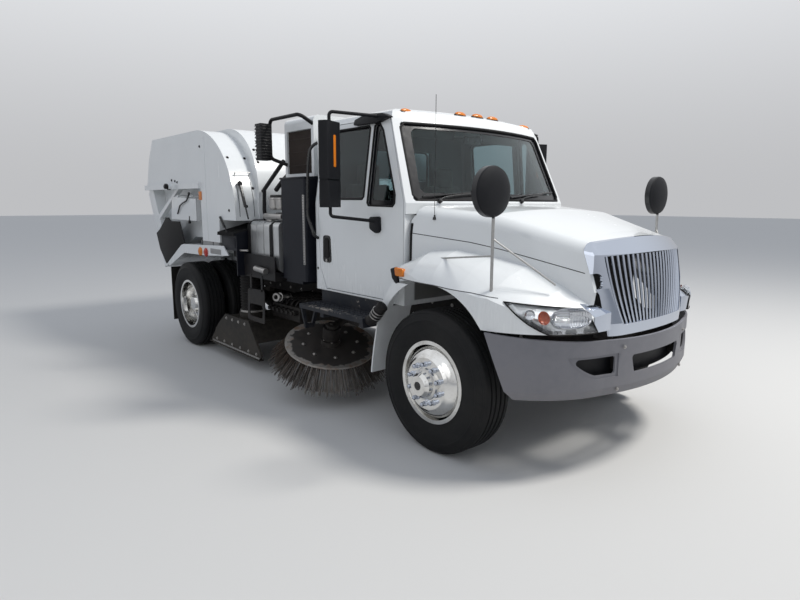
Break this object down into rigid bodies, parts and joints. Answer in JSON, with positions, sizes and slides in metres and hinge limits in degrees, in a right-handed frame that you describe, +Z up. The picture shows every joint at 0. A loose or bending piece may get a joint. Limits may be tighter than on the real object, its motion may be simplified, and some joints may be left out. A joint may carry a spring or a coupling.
{
  "type": "street sweeper truck",
  "caption": "Street sweeper truck with a conventional cab, tilting hood, tipping debris hopper, pick-up head, two gutter brooms and steered front wheels.",
  "frame": {"origin": "on the ground below the middle of the machine's length and width", "axes": "+X towards the front bumper, +Y to the driver's side, +Z up"},
  "size_m": [6.78, 3.0664, 2.5844],
  "materials": {
    "white_paint": "gloss",
    "black_paint": "satin",
    "grey_moulding": "satin",
    "engine_iron": "rough",
    "bare_steel": "satin",
    "polished_wheel": "polished",
    "chrome": "mirror",
    "tyre_rubber": "matte",
    "rubber": "matte",
    "window_glass": "clear",
    "cabin_plastic": "grained",
    "seat_fabric": "woven",
    "tank_plastic": "grained",
    "tank_aluminium": "satin",
    "bristle_steel": "worn",
    "worn_steel": "worn",
    "mirror_housing": "grained",
    "lamp_lens": "clear",
    "red_lens": "gloss",
    "radiator_core": "matte"
  },
  "bodies": {
    "chassis": {"frame_rails": "black_paint", "bumper": "grey_moulding", "front_axle": "black_paint", "rear_axle": "black_paint", "engine_block": "engine_iron", "radiator": "radiator_core", "cab_shell": "white_paint", "cab_glass": "window_glass", "dashboard": "cabin_plastic", "seats": "seat_fabric", "cab_steps": "black_paint", "water_tanks": "tank_plastic", "fuel_tank": "tank_aluminium", "tank_bracket": "black_paint", "side_box": "tank_plastic", "sweeper_engine": "engine_iron", "engine_cowl": "white_paint", "lamp_frame": "black_paint", "rear_fenders": "white_paint", "mud_flaps": "rubber", "light_bar": "red_lens", "suction_hoses": "rubber", "air_ducts": "black_paint", "fender_quarters": "white_paint"},
    "hopper": {"hopper_shell": "white_paint", "hopper_fittings": "white_paint"},
    "hopper_rear_door": {"hopper_rear_door": "white_paint"},
    "dump_barrels": {"dump_barrels": "black_paint"},
    "dump_rods": {"dump_rods": "chrome"},
    "pickup_head": {"pickup_head": "black_paint"},
    "hood": {"hood": "white_paint", "grille": "chrome", "headlamps": "lamp_lens", "fender_mirrors": "mirror_housing", "hood_hinges": "black_paint"},
    "door_left": {"door_left": "white_paint", "door_glass_left": "window_glass", "door_mirror_left": "mirror_housing"},
    "door_right": {"door_right": "white_paint", "door_glass_right": "window_glass", "door_mirror_right": "mirror_housing"},
    "knuckle_left": {"knuckle_left": "engine_iron"},
    "front_wheel_left": {"front_tyre_left": "tyre_rubber", "front_rim_left": "polished_wheel"},
    "knuckle_right": {"knuckle_right": "engine_iron"},
    "front_wheel_right": {"front_tyre_right": "tyre_rubber", "front_rim_right": "polished_wheel"},
    "rear_wheels_left": {"rear_tyres_left": "tyre_rubber", "rear_rims_left": "polished_wheel"},
    "rear_wheels_right": {"rear_tyres_right": "tyre_rubber", "rear_rims_right": "polished_wheel"},
    "broom_arm_left": {"broom_arm_left": "black_paint"},
    "gutter_broom_left": {"broom_disc_left": "worn_steel", "broom_bristles_left": "bristle_steel"},
    "broom_arm_right": {"broom_arm_right": "black_paint"},
    "gutter_broom_right": {"broom_disc_right": "worn_steel", "broom_bristles_right": "bristle_steel"}
  },
  "joints": [
    {"name": "hood_tilt", "type": "hinge", "parent": "chassis", "child": "hood", "pos_m": [3.285, 0, 0.935], "axis": [0, 1, 0], "range_deg": [0, 50]},
    {"name": "door_left_hinge", "type": "hinge", "parent": "chassis", "child": "door_left", "pos_m": [1.846, 1.003, 1.4], "axis": [0, 0, -1], "range_deg": [0, 60]},
    {"name": "door_right_hinge", "type": "hinge", "parent": "chassis", "child": "door_right", "pos_m": [1.846, -1.003, 1.4], "axis": [0, 0, 1], "range_deg": [0, 60]},
    {"name": "steer_left", "type": "hinge", "parent": "chassis", "child": "knuckle_left", "pos_m": [2.31, 0.88, 0.518], "axis": [0, 0, 1], "range_deg": [-32, 32]},
    {"name": "roll_front_left", "type": "hinge", "parent": "knuckle_left", "child": "front_wheel_left", "pos_m": [2.31, 1.022, 0.518], "axis": [0, 1, 0], "continuous": true},
    {"name": "steer_right", "type": "hinge", "parent": "chassis", "child": "knuckle_right", "pos_m": [2.31, -0.88, 0.518], "axis": [0, 0, 1], "range_deg": [-32, 32]},
    {"name": "roll_front_right", "type": "hinge", "parent": "knuckle_right", "child": "front_wheel_right", "pos_m": [2.31, -1.022, 0.518], "axis": [0, 1, 0], "continuous": true},
    {"name": "roll_rear_left", "type": "hinge", "parent": "chassis", "child": "rear_wheels_left", "pos_m": [-1.97, 0.914, 0.518], "axis": [0, 1, 0], "continuous": true},
    {"name": "roll_rear_right", "type": "hinge", "parent": "chassis", "child": "rear_wheels_right", "pos_m": [-1.97, -0.914, 0.518], "axis": [0, 1, 0], "continuous": true},
    {"name": "hopper_tilt", "type": "hinge", "parent": "chassis", "child": "hopper", "pos_m": [-2.62, 0, 1.01], "axis": [0, -1, 0], "range_deg": [0, 50]},
    {"name": "rear_door_hinge", "type": "hinge", "parent": "hopper", "child": "hopper_rear_door", "pos_m": [-3.372, 0, 1.915], "axis": [0, 1, 0], "range_deg": [0, 60]},
    {"name": "dump_barrel_swing", "type": "hinge", "parent": "chassis", "child": "dump_barrels", "pos_m": [-1.4, 0, 0.79], "axis": [0, 1, 0], "range_deg": [0, 8]},
    {"name": "dump_rod_slide", "type": "slide", "parent": "dump_barrels", "child": "dump_rods", "axis": [-0.9518, 0, 0.3067], "range_m": [0, 0.245]},
    {"name": "head_lower", "type": "slide", "parent": "chassis", "child": "pickup_head", "axis": [0, 0, -1], "range_m": [0, 0.11], "deforming": ["suction_hoses"]},
    {"name": "broom_arm_left_lower", "type": "hinge", "parent": "chassis", "child": "broom_arm_left", "pos_m": [0.7, 0.492, 0.8], "axis": [-1, 0, 0], "range_deg": [0, 6]},
    {"name": "broom_left_spin", "type": "hinge", "parent": "broom_arm_left", "child": "gutter_broom_left", "pos_m": [0.79, 0.96, 0.5], "axis": [0.3031, 0.1042, 0.9472], "continuous": true},
    {"name": "broom_arm_right_lower", "type": "hinge", "parent": "chassis", "child": "broom_arm_right", "pos_m": [0.7, -0.492, 0.8], "axis": [1, 0, 0], "range_deg": [0, 6]},
    {"name": "broom_right_spin", "type": "hinge", "parent": "broom_arm_right", "child": "gutter_broom_right", "pos_m": [0.79, -0.96, 0.5], "axis": [0.3031, -0.1042, 0.9472], "continuous": true}
  ],
  "couplings": [
    {"joint": "steer_right", "follows": "steer_left", "ratio": 1},
    {"joint": "dump_barrel_swing", "follows": "hopper_tilt", "ratio": 0.15346},
    {"joint": "dump_rod_slide", "follows": "hopper_tilt", "m_per_rad": 0.27267}
  ]
}
